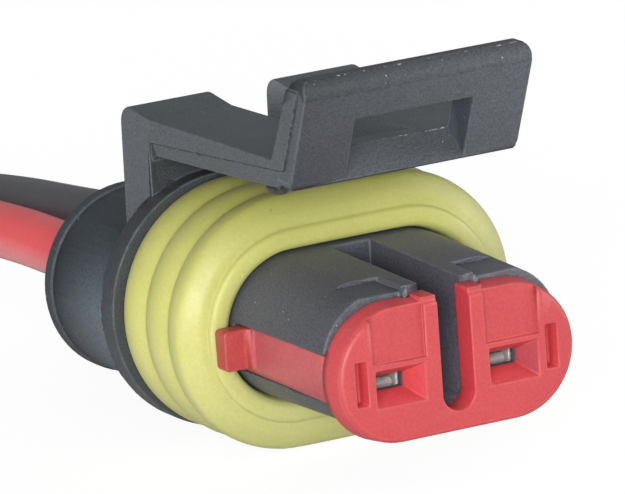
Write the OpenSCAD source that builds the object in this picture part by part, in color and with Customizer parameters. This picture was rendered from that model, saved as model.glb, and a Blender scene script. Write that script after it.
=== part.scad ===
// Sealed two-way automotive plug with its leads.
// X runs across the two ways, Y from the mating face back to the wires, Z up to the latch.
// The origin lies on the mating face, midway between the two terminals.

/* [Ways] */
// Distance between the two terminals
pitch = 6; // [5.5:0.1:6.5]
// Outer diameter of the insulated leads
lead_d = 2.8; // [2.2:0.1:2.8]
// Diameter of the stranded conductor
strand_d = 1.3; // [1:0.1:1.6]

/* [Housing] */
// Radius of the round ends of the core, under the seal
core_r = 3.5; // [3.45:0.05:3.6]
// Radius of the round ends of the core, at its front end
core_front_r = 3.3; // [3.26:0.02:3.4]
// Height of the core's centre above the terminals
core_z = 0.95; // [0.8:0.05:1.1]
// Where the core starts, behind the lock's face plate
core_y = 1.46; // [1.45:0.01:1.6]
// Radius of the round ends of the flange behind the seal
flange_r = 6.2; // [6.1:0.05:6.3]
// Front face of the flange
flange_y = 16.7; // [16:0.1:17.5]
// Thickness of the flange
flange_t = 1.2; // [1:0.1:1.6]
// Radius of the round ends of the rear sleeve
sleeve_r = 4.55; // [4.5:0.05:4.7]
// Height of the sleeve's centre above the terminals
sleeve_z = 0.15; // [0.1:0.05:0.4]
// Rear end of the sleeve
sleeve_end = 27; // [26:0.5:30]
// Half of the width of the key groove in the top of the core
groove_half = 1.06; // [0.9:0.02:1.1]

/* [Latch] */
// Half of the overall width of the latch
latch_half = 6.17; // [5.9:0.01:6.3]
// Half of the gap between the two latch arms
latch_gap = 1.7; // [1.5:0.1:1.9]
// Height of the top of the thumb paddle
paddle_top = 14.45; // [14.3:0.05:14.6]
// Height of the risers that carry the latch
riser_top = 10.33; // [10.3:0.01:10.6]
// Radius of the paddle's corners
paddle_corner = 0.55; // [0.3:0.05:0.8]

/* [Seal] */
// Radius of the round ends over the ribs of the interface seal
seal_r = 6.2; // [6.1:0.05:6.3]
// Half of the straight run between the seal's round ends
seal_run = 2.8; // [2.7:0.05:3]
// Depth of the valleys between its ribs
rib_depth = 0.5; // [0.3:0.05:0.7]
// Number of ribs
ribs = 3; // [2:1:4]
// Front face of the seal
seal_y = 9.7; // [9.6:0.05:9.9]

/* [Secondary lock] */
// Thickness of the face plate
plate_t = 1.4; // [1.3:0.05:1.4]
// Radius of the round ends of the face plate, at its front
plate_r = 3.2; // [3.1:0.05:3.25]
// Height of the face plate's centre
plate_z = 0.5; // [0.4:0.05:0.6]
// Half of the width of the key slot in the face plate
slot_half = 0.83; // [0.7:0.01:0.9]
// Gap between the lock and the housing
lock_gap = 0.08; // [0.06:0.01:0.1]

/* [Hidden] */
$fn = 64;
eps = 0.01;
way_x = pitch / 2;

// Housing
housing_grey = [0.20, 0.21, 0.23];
flange_back = flange_y + flange_t;
fillet_r = 0.9;
bead_t = 0.7;
bead_out = 0.12;
rear_pocket = 1.1;
seal_bore_r = 2.1;
box_w = 2.1;
box_h = 1.9;
cavity_gap = 0.12;
front_wall = 0.55;
groove_floor = -1.5;
slot_floor = -1.72;
cavity_end = 10.6;
scoop_x = [1.9, 4.8];
scoop_z = 4.05;
scoop_y = 3.7;
nose_x = [1.72, 2];
nose_y = 1.15;
nose_z = [3.7, 4.2];

// Latch, in the side view (y, z)
riser_front = 17.6;
riser_back = 20.42;
riser_foot_back = 20.68;
riser_foot = 3;
corner_r = 0.95;
arm_step = 0.15;
arm_under = [[5.2, 8.93], [10.1, 8.65], [17.25, 8.3], [riser_front, 8.05]];
arm_top = [[5.3, 10.3], [12.3, 10.2], [17.4, 10.06]];
parting = [[4.22, 9.92], [11.6, 9.36], [riser_front, 8.94]];
parting_top = [2.09, 14.3];
paddle_back = [[2.85, paddle_top], [3.12, 14.3], [3.79, 13.1], arm_top[0]];
bar_back = 6.3;
window_half = 3.1;
window_z = [arm_top[0][1], 12.15];
ledge = [[3.2, 8.6], [5.12, window_z[0] + eps]];

// Seal
seal_back = flange_y;
lip_r = core_r + 1.15;
lip_t = 0.35;
shoulder = 0.8;

// Secondary lock
plate_flare = 0.14;
corner_z = 3.92;
arm_x = [5.05, 6.06];
arm_z = [-0.56, 1.63];
arm_end = seal_y - lock_gap;
hook_x = 7.5;
hook_t = 0.95;
hook_z = [-0.3, 1.63];
hook_corner = 0.22;
hook_fillet = 0.5;
panel_half = 1.42;
panel_z = 1.14;
panel_d = 0.2;
pocket_w = 2.5;
pocket_h = 1.68;
hole_w = 1.5;
hole_h = 0.72;
pocket_d = 1.15;
side_slot = [4.72, 5.32];
side_slot_z = [-0.64, 1.46];
side_slot_d = 0.9;
tongue_w = 1.5;
tongue_z = [-2.15, -1.5];
tongue_end = 7.5;

// Terminals
metal = 0.22;
box_front = core_y + front_wall + 0.05;
box_end = 9.6;
crimp_y = [11.4, 13.9];
crimp_r = strand_d / 2 + metal;
grip_y = [15.4, 17.6];
neck_r = lead_d / 2 + 0.25;
grip_r = neck_r + metal;
strap_w = 1.3;
spring_half = 0.7;
spring_roll = 0.3;

// Wire seals
wire_seal_y = [15.2, 18.2, 25.4];
wire_ribs = 3;
wire_rib_depth = 0.28;

// Leads
lead_start = 14.8;
strip = 6;
lead_sides = 8;
red_route = [
    [-3, lead_start, 0], [-3, 21, 0], [-3, 27, 0], [-3, 33, 0], [-3, 39, -0.1], [-3, 45, -0.6],
    [-3, 51, -1.6], [-3, 57, -2.8], [-3.1, 63, -3.5], [-3.2, 69, -3.85], [-3.4, 75, -3.85],
    [-3.6, 82, -3.85], [-3.7, 89, -3.85], [-3.6, 96, -3.85], [-3.4, 103, -3.85], [-3, 110, -3.85],
    [-2.6, 116, -3.85], [-2.2, 121, -3.85]
];
black_route = [
    [3, lead_start, 0], [3, 21, 0], [3, 27, 0], [2.8, 32, 0], [2.2, 37, -0.1], [1.4, 42, -0.3],
    [0.8, 47, -0.6], [0.4, 52, -1.2], [0.2, 57, -2.1], [0.1, 62, -3], [0, 68, -3.6],
    [0, 74, -3.85], [0, 81, -3.85], [0.2, 88, -3.85], [0.6, 95, -3.85], [1.2, 102, -3.85],
    [1.9, 109, -3.85], [2.6, 115, -3.85], [3.2, 121, -3.85]
];

// ---- shared shapes ----

// Sweeps a half section (radius, y) round a slot with round ends: the form of almost every part here.
module around(z, run = way_x) {
    for (side = [-1, 1])
        translate([side * run, 0, z])
            rotate([-90, 0, 0])
                rotate_extrude()
                    children();
    translate([run, 0, z])
        rotate([0, -90, 0])
            linear_extrude(2 * run) {
                children();
                mirror([1, 0])
                    children();
            }
}

// A straight slot with round ends of radius r, from y0 to y1
module slot_block(r, z, y0, y1) {
    around(z)
        translate([0, y0])
            square([r, y1 - y0]);
}

// A box given by its two corners
module block(low, high) {
    translate(low)
        cube(high - low);
}

// Extrudes an outline drawn in (y, z) from x0 to x1
module side_view(x0, x1) {
    translate([x0, 0, 0])
        rotate([90, 0, 90])
            linear_extrude(x1 - x0)
                children();
}

// Extrudes an outline drawn in (x, z) from y0 to y1
module front_view(y0, y1) {
    translate([0, y1, 0])
        rotate([90, 0, 0])
            linear_extrude(y1 - y0)
                children();
}

// A rectangle with round corners, centred on x
module rounded(half, z0, z1, r) {
    for (side = [-1, 1])
        for (z = [z0 + r, z1 - r])
            translate([side * (half - r), z])
                circle(r);
    translate([-half + r, z0])
        square([2 * (half - r), z1 - z0]);
    translate([-half, z0 + r])
        square([2 * half, z1 - z0 - 2 * r]);
}

// A funnel from a w0 by h0 mouth at y0 to a w1 by h1 throat at y1
module funnel(w0, h0, y0, w1, h1, y1) {
    mouth = [[-w0, -h0], [w0, -h0], [w0, h0], [-w0, h0]] / 2;
    throat = [[-w1, -h1], [w1, -h1], [w1, h1], [-w1, h1]] / 2;
    polyhedron(
        points = concat(
            [for (p = mouth) [p[0], y0, p[1]]],
            [for (p = throat) [p[0], y1, p[1]]]
        ),
        faces = [
            [3, 2, 1, 0], [4, 5, 6, 7],
            [0, 1, 5, 4], [1, 2, 6, 5], [2, 3, 7, 6], [3, 0, 4, 7]
        ]
    );
}

// ---- housing ----

// Half section of the core, which tapers to its front end
module core_profile() {
    polygon([
        [0, core_y], [core_front_r, core_y], [core_r, seal_y],
        [core_r, flange_y + eps], [0, flange_y + eps]
    ]);
}

// Half section of the rear sleeve, with its bead and the fillet at the flange
module sleeve_profile() {
    sleeve_back = sleeve_end - bead_t;
    translate([0, flange_back - eps])
        square([sleeve_r, sleeve_back - flange_back + 2 * eps]);
    translate([0, sleeve_back])
        square([sleeve_r + bead_out, bead_t]);
    difference() {
        translate([sleeve_r - eps, flange_back - eps])
            square(fillet_r + eps);
        translate([sleeve_r + fillet_r, flange_back + fillet_r])
            circle(fillet_r);
    }
}

function backwards(points) = [for (k = [len(points) - 1 : -1 : 0]) points[k]];

// Round top rear corner of the riser and its slanting back
riser_end = let(corner = [riser_back - corner_r, riser_top - corner_r]) concat(
    [for (a = [90 : -15 : 0]) corner + corner_r * [cos(a), sin(a)]],
    [[riser_foot_back, riser_foot]]
);

// Outline of one arm with its riser
module arm_outline() {
    polygon(concat(
        [[riser_front, riser_foot]], backwards(arm_under), arm_top, riser_end
    ));
}

// The outer half of the mould forms the riser, the arm above its parting line and the paddle's rear:
// they stand a step proud of the rest
module proud_outline() {
    polygon(concat(
        [[riser_front, riser_foot]], backwards(parting), [parting_top, [2.3, paddle_top]],
        paddle_back, [for (k = [1 : len(arm_top) - 1]) arm_top[k]], riser_end
    ));
}

module paddle_outline() {
    polygon(concat(
        [[3.9, 9], [3.8, 9.2], [1.85, 13.5], [1.84, 13.85], [2, 14.2], [2.3, paddle_top]],
        paddle_back, [[5.6, 9.4], arm_under[0]]
    ));
}

// Keeps what lies inside the paddle's round corners, in front of the arms
module with_round_corners(half) {
    intersection() {
        children();
        union() {
            front_view(0, 5)
                rounded(half, 8.9, paddle_top, paddle_corner);
            block([-half, 5, riser_foot], [half, riser_foot_back + 1, paddle_top]);
        }
    }
}

module latch() {
    half = latch_half - arm_step;
    difference() {
        union() {
            with_round_corners(half)
                side_view(-half, half)
                    paddle_outline();
            for (side = [0, 1])
                mirror([side, 0, 0]) {
                    side_view(latch_gap, half)
                        arm_outline();
                    with_round_corners(latch_half)
                        side_view(half - eps, latch_half)
                            proud_outline();
                }
            // Cross bar that catches the socket's lug
            side_view(-half + 1, half - 1)
                polygon([[4.6, 8.97], [4.6, 10], arm_top[0], [bar_back, 10.28], [bar_back, 8.86]]);
        }
        // Window through the paddle
        block([-window_half, 0, window_z[0]], [window_half, 6, window_z[1]]);
        // Sloping ledge below the window
        side_view(-window_half, window_half)
            polygon([[2, ledge[0][1]], ledge[0], ledge[1], [2, ledge[1][1]]]);
    }
}

// Flat in the top of the core's front end, behind the face plate
module front_flats() {
    for (side = [0, 1])
        mirror([side, 0, 0])
            block([scoop_x[0], 0, scoop_z], [scoop_x[1], scoop_y, scoop_z + 2]);
}

// Room in the core for the lock's side arms and tongues
module lock_channels() {
    for (side = [0, 1])
        mirror([side, 0, 0])
            block(
                [arm_x[0] - lock_gap, 0, arm_z[0] - lock_gap],
                [hook_x + 1, seal_y + eps, arm_z[1] + lock_gap]
            );
    for (side = [-1, 1])
        block(
            [side * way_x - tongue_w / 2 - lock_gap, 0, tongue_z[0] - lock_gap],
            [side * way_x + tongue_w / 2 + lock_gap, tongue_end + lock_gap, tongue_z[1] + lock_gap]
        );
}

// Cavity for one terminal and its wire seal
module way_cavity() {
    half_w = box_w / 2 + cavity_gap;
    half_h = box_h / 2 + cavity_gap;
    block([-hole_w / 2 - 0.1, 0, -hole_h / 2 - 0.1], [hole_w / 2 + 0.1, 3, hole_h / 2 + 0.1]);
    block([-half_w, core_y + front_wall, -half_h], [half_w, cavity_end, half_h]);
    translate([0, cavity_end - eps, 0])
        rotate([-90, 0, 0])
            cylinder(r = seal_bore_r, h = sleeve_end);
}

module plug_housing() {
    color(housing_grey)
        difference() {
            union() {
                around(core_z)
                    core_profile();
                around(core_z)
                    translate([0, flange_y])
                        square([flange_r, flange_t]);
                around(sleeve_z)
                    sleeve_profile();
                latch();
                // Noses beside the key groove that seat in the face plate
                for (side = [0, 1])
                    mirror([side, 0, 0])
                        block(
                            [nose_x[0], nose_y, nose_z[0]],
                            [nose_x[1], core_y + 0.5, nose_z[1]]
                        );
            }
            // Key groove
            block([-groove_half, 0, groove_floor], [groove_half, seal_y, 6]);
            front_flats();
            for (side = [-1, 1])
                translate([side * way_x, 0, 0])
                    way_cavity();
            lock_channels();
            // Shallow pocket round the wire seals
            slot_block(sleeve_r - 0.8, sleeve_z, sleeve_end - rear_pocket, sleeve_end + 1);
        }
}

// ---- interface seal ----

module rib_section(length, count, depth) {
    step = length / count;
    crest = step / 2;
    for (k = [0 : count - 1])
        intersection() {
            translate([-crest * 0.9, (k + 0.5) * step])
                circle(crest * 0.9 + depth);
            translate([-10, k * step])
                square([20, step]);
        }
}

// Half section of the seal's ribbed body, with a sloping shoulder at its front
module seal_profile() {
    rib_y = seal_y + lip_t;
    length = seal_back - rib_y;
    valley_r = seal_r - rib_depth;
    intersection() {
        union() {
            translate([0, rib_y])
                square([valley_r, length]);
            translate([valley_r, rib_y])
                rib_section(length, ribs, rib_depth);
        }
        polygon([
            [0, rib_y], [valley_r - shoulder / 2, rib_y], [seal_r + 0.2, rib_y + shoulder],
            [seal_r + 0.2, seal_back], [0, seal_back]
        ]);
    }
}

module interface_seal() {
    color([0.84, 0.84, 0.49])
        difference() {
            union() {
                around(core_z, seal_run)
                    seal_profile();
                // Raised lip round the core
                around(core_z)
                    polygon([
                        [0, seal_y], [lip_r - 0.2, seal_y], [lip_r, seal_y + 0.15],
                        [lip_r, seal_y + lip_t + eps], [0, seal_y + lip_t + eps]
                    ]);
            }
            slot_block(core_r, core_z, seal_y - 1, seal_back + 1);
        }
}

// ---- secondary lock ----

module face_plate() {
    difference() {
        union() {
            around(plate_z)
                polygon([
                    [0, 0], [plate_r - 0.15, 0], [plate_r, 0.15],
                    [plate_r + plate_flare, plate_t], [0, plate_t]
                ]);
            // Raised corners beside the key slot
            block([-nose_x[0] + lock_gap, 0.15, 3], [nose_x[0] - lock_gap, plate_t, corner_z]);
        }
        // Key slot, open at the top
        block([-slot_half, -1, slot_floor + slot_half], [slot_half, 3, 6]);
        front_view(-1, 3)
            translate([0, slot_floor + slot_half])
                circle(slot_half);
        for (side = [-1, 1])
            translate([side * way_x, 0, 0]) {
                funnel(pocket_w + 0.2, pocket_h + 0.2, -0.1, hole_w, hole_h, pocket_d);
                block([-hole_w / 2, 0, -hole_h / 2], [hole_w / 2, 3, hole_h / 2]);
                // Shallow bare panel above the blade entry
                block([-panel_half, -1, panel_z], [panel_half, panel_d, 5]);
            }
        for (side = [0, 1])
            mirror([side, 0, 0]) {
                // Notch for the housing's nose
                block(
                    [nose_x[0] - lock_gap, nose_y - lock_gap, nose_z[0] - lock_gap],
                    [nose_x[1] + lock_gap, 3, 5]
                );
                // Side slot that frees the arm
                block(
                    [side_slot[0], -1, side_slot_z[0]],
                    [side_slot[1], side_slot_d, side_slot_z[1]]
                );
            }
    }
}

// Side arm with the hook that holds the interface seal
module lock_arm() {
    hook_y = arm_end - hook_t;
    block([arm_x[0], plate_t - eps, arm_z[0]], [arm_x[1], arm_end, arm_z[1]]);
    // Hook, with round corners on its free side
    intersection() {
        front_view(hook_y, arm_end)
            rounded(hook_x, hook_z[0], hook_z[1], hook_corner);
        block([arm_x[0], 0, hook_z[0]], [hook_x, arm_end, hook_z[1]]);
    }
    // Fillet between the arm's side and the hook
    translate([0, 0, hook_z[0]])
        linear_extrude(hook_z[1] - hook_z[0])
            difference() {
                translate([arm_x[1] - eps, hook_y - hook_fillet])
                    square(hook_fillet + eps);
                translate([arm_x[1] + hook_fillet, hook_y - hook_fillet])
                    circle(hook_fillet);
            }
}

module secondary_lock() {
    color([0.88, 0.25, 0.27]) {
        face_plate();
        for (side = [0, 1])
            mirror([side, 0, 0])
                lock_arm();
        for (side = [-1, 1])
            block(
                [side * way_x - tongue_w / 2, plate_t - eps, tongue_z[0]],
                [side * way_x + tongue_w / 2, tongue_end, tongue_z[1]]
            );
    }
}

// ---- terminals ----

// Folded receptacle: contact box, crimped barrel and the grip round the wire seal
module terminal(side) {
    color([0.80, 0.79, 0.76])
        translate([side * way_x, 0, 0]) {
            difference() {
                block([-box_w / 2, box_front, -box_h / 2], [box_w / 2, box_end, box_h / 2]);
                block(
                    [-box_w / 2 + metal, box_front - 1, -box_h / 2 + metal],
                    [box_w / 2 - metal, box_end + 1, box_h / 2 - metal]
                );
            }
            // Contact spring: a rolled front end, a rise to meet the blade, then back to the floor
            side_view(-spring_half, spring_half) {
                translate([box_front + spring_roll + 0.15, -0.4])
                    circle(spring_roll);
                polygon([
                    [box_front + 0.4, -0.3], [box_front + 1.6, 0], [box_front + 2.4, -0.1],
                    [box_end - 1, 2 * metal - box_h / 2], [box_end - 0.4, metal - box_h / 2 - eps],
                    [box_end - 1, metal - box_h / 2 - eps], [box_front + 2.4, -0.3],
                    [box_front + 1.6, -0.22], [box_front + 0.4, -0.5]
                ]);
            }
            // Floor strap that joins the box to the barrel
            block(
                [-strap_w / 2, box_end - 0.5, -box_h / 2],
                [strap_w / 2, crimp_y[0] + 0.3, -crimp_r + metal]
            );
            // Its second length steps down below the insulation and joins the barrel to the grip
            side_view(-strap_w / 2, strap_w / 2)
                polygon([
                    [crimp_y[1] - 0.3, -crimp_r + metal / 2], [crimp_y[1] + 0.05, -crimp_r + metal / 2],
                    [lead_start - 0.2, -neck_r], [grip_y[0] + 0.3, -neck_r], [grip_y[0] + 0.3, -grip_r],
                    [lead_start - 0.3, -grip_r], [crimp_y[1] - 0.1, -crimp_r - metal / 2],
                    [crimp_y[1] - 0.3, -crimp_r - metal / 2]
                ]);
            difference() {
                translate([0, crimp_y[0], 0])
                    rotate([-90, 0, 0])
                        cylinder(r = crimp_r, h = crimp_y[1] - crimp_y[0]);
                translate([0, crimp_y[0] - 1, 0])
                    rotate([-90, 0, 0])
                        cylinder(d = strand_d, h = 5);
            }
            difference() {
                translate([0, grip_y[0], 0])
                    rotate([-90, 0, 0])
                        cylinder(r = grip_r, h = grip_y[1] - grip_y[0]);
                translate([0, grip_y[0] - 1, 0])
                    rotate([-90, 0, 0])
                        cylinder(r = neck_r, h = 5);
                block([-0.35, 0, 0], [0.35, 20, 4]);
            }
        }
}

// ---- wire seals ----

module wire_seal(side) {
    length = wire_seal_y[2] - wire_seal_y[1];
    valley_r = seal_bore_r - wire_rib_depth;
    color([0.90, 0.78, 0.35])
        translate([side * way_x, 0, 0])
            rotate([-90, 0, 0])
                rotate_extrude() {
                    translate([lead_d / 2, wire_seal_y[0]])
                        square([neck_r - lead_d / 2, wire_seal_y[1] - wire_seal_y[0] + eps]);
                    translate([lead_d / 2, wire_seal_y[1]])
                        square([valley_r - lead_d / 2, length]);
                    translate([valley_r, wire_seal_y[1]])
                        intersection() {
                            translate([-0.2, 0])
                                square([wire_rib_depth + 0.2, length]);
                            rib_section(length, wire_ribs, wire_rib_depth);
                        }
                }
}

// ---- leads ----

function unit(v) = v / norm(v);

// Direction of the route at point k
function heading(route, k) =
    let(a = route[max(k - 1, 0)], b = route[min(k + 1, len(route) - 1)])
    unit(b - a);

// One ring of a swept tube
function ring(centre, way, r, sides) =
    let(across = unit(cross(way, [0, 0, 1])), up = cross(across, way))
    [for (k = [0 : sides - 1])
        centre + r * (cos(360 * k / sides) * across + sin(360 * k / sides) * up)];

module swept_tube(route, r, sides) {
    rings = len(route);
    polyhedron(
        points = [for (k = [0 : rings - 1]) each ring(route[k], heading(route, k), r, sides)],
        faces = concat(
            [[for (k = [0 : sides - 1]) k]],
            [for (i = [0 : rings - 2])
                for (k = [0 : sides - 1])
                    [
                        i * sides + k, (i + 1) * sides + k,
                        (i + 1) * sides + (k + 1) % sides, i * sides + (k + 1) % sides
                    ]],
            [[for (k = [sides - 1 : -1 : 0]) (rings - 1) * sides + k]]
        )
    );
}

module lead(route, shade) {
    color(shade)
        swept_tube(route, lead_d / 2, lead_sides);
}

// The conductor shows in the crimped barrel and at the stripped end
module strands(side, route) {
    last = len(route) - 1;
    way = heading(route, last);
    color([0.80, 0.50, 0.32]) {
        translate([side * way_x, crimp_y[0] - 0.4, 0])
            rotate([-90, 0, 0])
                cylinder(d = strand_d, h = lead_start - crimp_y[0] + 0.4);
        translate(route[last])
            rotate([-90, 0, -atan2(way[0], way[1])])
                cylinder(d = strand_d, h = strip);
    }
}

plug_housing();
interface_seal();
secondary_lock();
terminal(-1);  // left_terminal
terminal(1);  // right_terminal
wire_seal(-1);  // left_wire_seal
wire_seal(1);  // right_wire_seal
lead(red_route, [0.85, 0.18, 0.18]);  // red_lead
lead(black_route, [0.12, 0.12, 0.13]);  // black_lead
strands(-1, red_route);  // red_strands
strands(1, black_route);  // black_strands
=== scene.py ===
# %% [markdown]
# # A sealed two-way plug
# A sealed plug carries two wires through a wet place. It has a stiff moulded housing with a spring
# latch, a soft ribbed seal, a red secondary lock, two plated terminals, two wire seals and two leads.
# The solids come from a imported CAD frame, where fit and motion were settled. This lesson dresses them:
# it rounds the mouldings, models the soft and fine pieces, and gives every surface its finish.

# %% Load the frame
import math
import random

import bmesh
import bpy
from mathutils import Matrix, Vector
from mathutils.bvhtree import BVHTree


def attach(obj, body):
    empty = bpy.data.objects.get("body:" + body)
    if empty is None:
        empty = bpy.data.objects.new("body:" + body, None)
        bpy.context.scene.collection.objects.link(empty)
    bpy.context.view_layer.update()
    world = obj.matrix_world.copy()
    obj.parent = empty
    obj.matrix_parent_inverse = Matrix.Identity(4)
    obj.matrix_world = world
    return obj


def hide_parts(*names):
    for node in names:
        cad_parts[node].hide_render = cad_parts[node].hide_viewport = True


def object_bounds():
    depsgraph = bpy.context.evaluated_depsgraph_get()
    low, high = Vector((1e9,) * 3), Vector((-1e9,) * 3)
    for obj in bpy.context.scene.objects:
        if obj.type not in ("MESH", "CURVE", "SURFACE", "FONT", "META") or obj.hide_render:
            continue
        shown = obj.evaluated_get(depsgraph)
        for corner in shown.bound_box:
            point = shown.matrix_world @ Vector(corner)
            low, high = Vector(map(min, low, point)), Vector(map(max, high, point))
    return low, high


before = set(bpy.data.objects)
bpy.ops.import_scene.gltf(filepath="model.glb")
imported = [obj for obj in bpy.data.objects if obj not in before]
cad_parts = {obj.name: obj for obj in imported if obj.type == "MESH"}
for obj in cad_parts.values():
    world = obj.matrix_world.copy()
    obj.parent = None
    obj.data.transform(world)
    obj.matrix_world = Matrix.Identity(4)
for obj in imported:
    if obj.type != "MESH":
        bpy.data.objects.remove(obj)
cad_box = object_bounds()
print("solid pieces:", ", ".join(sorted(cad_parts)))

# %% [markdown]
# A plug is drawn in millimetres, and the scene is in metres. One small function turns the first into
# the second, so every number below can be read as it stands on the drawing.

# %% Units
MM = 0.001


def mm(*values):
    """One length, or one point, from millimetres to metres."""
    return values[0] * MM if len(values) == 1 else Vector(values) * MM


floor_z = cad_box[0][2]
print("the plug rests at z =", round(floor_z / MM, 2), "mm")

# %% [markdown]
# The camera looks at the mating face from the left and a little from above, and is tipped by four
# degrees. It stands far off with a long lens: from close by, the front of so small a thing would
# look swollen.

# %% Camera
CAMERA_AZIMUTH = -27.715
CAMERA_ELEVATION = 14.075
CAMERA_ROLL = -4.064
CAMERA_DISTANCE = 400.06
CAMERA_LENS = 492.77
LOOK_AT = mm(0, 8, 0)
LOOK_ASIDE = mm(-2.56)
LOOK_UP = mm(4.58)


def from_side(azimuth, elevation):
    """The way from the plug to a place around it. Azimuth 0 is in front, elevation 90 is above."""
    turn, rise = math.radians(azimuth), math.radians(elevation)
    return Vector((
        math.sin(turn) * math.cos(rise), -math.cos(turn) * math.cos(rise), math.sin(rise)
    ))


def link_piece(name, data):
    """A new object with this data, placed in the scene."""
    piece = bpy.data.objects.new(name, data)
    bpy.context.scene.collection.objects.link(piece)
    return piece


def place_camera():
    away = from_side(CAMERA_AZIMUTH, CAMERA_ELEVATION)
    right = Vector((0, 0, 1)).cross(away).normalized()
    up = away.cross(right)
    target = LOOK_AT + right * LOOK_ASIDE + up * LOOK_UP
    turn = Matrix((right, up, away)).transposed().to_4x4()
    data = bpy.data.cameras.new("camera")
    data.lens = CAMERA_LENS
    data.clip_start = 0.01
    camera = link_piece("camera", data)
    camera.matrix_world = (
        Matrix.Translation(target + away * mm(CAMERA_DISTANCE))
        @ turn @ Matrix.Rotation(math.radians(CAMERA_ROLL), 4, "Z")
    )
    bpy.context.scene.camera = camera
    print("camera stands at", [round(c, 4) for c in camera.matrix_world.translation])


place_camera()

# %% [markdown]
# A lead is insulated copper wire. A curve with a round bevel is the natural way to make one: its
# points are the route, and its thickness is one number. Each lead leaves its seal straight, sinks to
# the table under its own weight and lies there. The routes are those of the solid leads.

# %% Routes of the two leads
LEAD_D = 2.8
STRAND_BUNDLE_D = 1.3
STRIPPED = 6.0
RED_ROUTE = [
    (-3, 14.8, 0), (-3, 21, 0), (-3, 27, 0), (-3, 33, 0), (-3, 39, -0.1), (-3, 45, -0.6),
    (-3, 51, -1.6), (-3, 57, -2.8), (-3.1, 63, -3.5), (-3.2, 69, -3.85), (-3.4, 75, -3.85),
    (-3.6, 82, -3.85), (-3.7, 89, -3.85), (-3.6, 96, -3.85), (-3.4, 103, -3.85),
    (-3, 110, -3.85), (-2.6, 116, -3.85), (-2.2, 121, -3.85),
]
BLACK_ROUTE = [
    (3, 14.8, 0), (3, 21, 0), (3, 27, 0), (2.8, 32, 0), (2.2, 37, -0.1), (1.4, 42, -0.3),
    (0.8, 47, -0.6), (0.4, 52, -1.2), (0.2, 57, -2.1), (0.1, 62, -3), (0, 68, -3.6),
    (0, 74, -3.85), (0, 81, -3.85), (0.2, 88, -3.85), (0.6, 95, -3.85), (1.2, 102, -3.85),
    (1.9, 109, -3.85), (2.6, 115, -3.85), (3.2, 121, -3.85),
]


def route_length(route):
    return sum((mm(*b) - mm(*a)).length for a, b in zip(route, route[1:]))


for colour, route in (("red", RED_ROUTE), ("black", BLACK_ROUTE)):
    print(colour, "lead:", round(route_length(route) / MM, 1), "mm of insulation")


# %% Tube along a route
def tube_along(name, paths, diameter, widths=None, smooth=True, sides=24):
    """Round tubes whose centre lines pass through the points of each path, as one curve object."""
    data = bpy.data.curves.new(name, "CURVE")
    data.dimensions = "3D"
    data.bevel_depth = mm(diameter / 2)
    data.bevel_resolution = sides // 4 - 2
    data.resolution_u = 6
    data.use_fill_caps = True
    for path in paths:
        spline = data.splines.new("BEZIER" if smooth else "POLY")
        points = spline.bezier_points if smooth else spline.points
        points.add(len(path) - 1)
        for k, (point, place) in enumerate(zip(points, path)):
            if smooth:
                point.co = mm(*place)
                point.handle_left_type = point.handle_right_type = "AUTO"
            else:
                point.co = (*mm(*place), 1)
            point.radius = widths[k % len(widths)] if widths else 1.0
    return link_piece(name, data)


red_insulation = tube_along("red_insulation", [RED_ROUTE], LEAD_D)
black_insulation = tube_along("black_insulation", [BLACK_ROUTE], LEAD_D)

# %% [markdown]
# Most finishes here are made of the same few effects, so each effect is a shader node group, built once
# and placed in every material with its own numbers. Grain is the fine texture that a spark-eroded mould
# leaves. Patches are the slow, cloudy drift of any moulded surface. Specks are lint and crumbs of flash.
# The edge effect brightens the rounded edges, but not evenly: part of it is wear and part is a painted
# highlight. The underside effect is a painted reflection of the pale paper on the lower side of a lead.

# %% Small helpers for node trees
def new_group(name, inputs, outputs):
    """An empty shader group with number inputs {name: default} and number outputs."""
    group = bpy.data.node_groups.new(name, "ShaderNodeTree")
    for label, value in inputs.items():
        socket = group.interface.new_socket(label, in_out="INPUT", socket_type="NodeSocketFloat")
        socket.default_value = value
    for label in outputs:
        group.interface.new_socket(label, in_out="OUTPUT", socket_type="NodeSocketFloat")
    return group, group.nodes.new("NodeGroupInput"), group.nodes.new("NodeGroupOutput")


def add_node(tree, kind, **settings):
    node = tree.nodes.new(kind)
    for label, value in settings.items():
        setattr(node, label, value)
    return node


def feed(tree, value, socket):
    """Links another socket to this one, or sets it to a plain value."""
    if isinstance(value, bpy.types.NodeSocket):
        tree.links.new(value, socket)
    else:
        socket.default_value = value


def maths(tree, operation, first, second):
    """One Math node. Each operand is a socket or a number."""
    node = add_node(tree, "ShaderNodeMath", operation=operation)
    for socket, value in zip(node.inputs, (first, second)):
        feed(tree, value, socket)
    return node.outputs[0]


def remap(tree, value, low, high, out_low=0.0, out_high=1.0, easing="LINEAR"):
    """One Map Range node: low to high becomes out_low to out_high."""
    node = add_node(tree, "ShaderNodeMapRange", interpolation_type=easing)
    tree.links.new(value, node.inputs["Value"])
    for label, number in (
        ("From Min", low), ("From Max", high), ("To Min", out_low), ("To Max", out_high)
    ):
        node.inputs[label].default_value = number
    return node.outputs["Result"]


def sized_texture(tree, kind, size, **settings):
    """A noise or cell texture in the piece's own space, with its feature size in millimetres."""
    place = add_node(tree, "ShaderNodeTexCoord")
    texture = add_node(tree, kind, **settings)
    tree.links.new(place.outputs["Object"], texture.inputs["Vector"])
    tree.links.new(maths(tree, "DIVIDE", 1000.0, size), texture.inputs["Scale"])
    return texture


# %% Effect: grain
def make_grain():
    group, inside, outside = new_group("mould_grain", {"Size": 0.1}, ["Height"])
    grain = sized_texture(group, "ShaderNodeTexNoise", inside.outputs["Size"])
    grain.inputs["Detail"].default_value = 3.0
    grain.inputs["Roughness"].default_value = 0.6
    group.links.new(grain.outputs["Fac"], outside.inputs["Height"])
    return group


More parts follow.
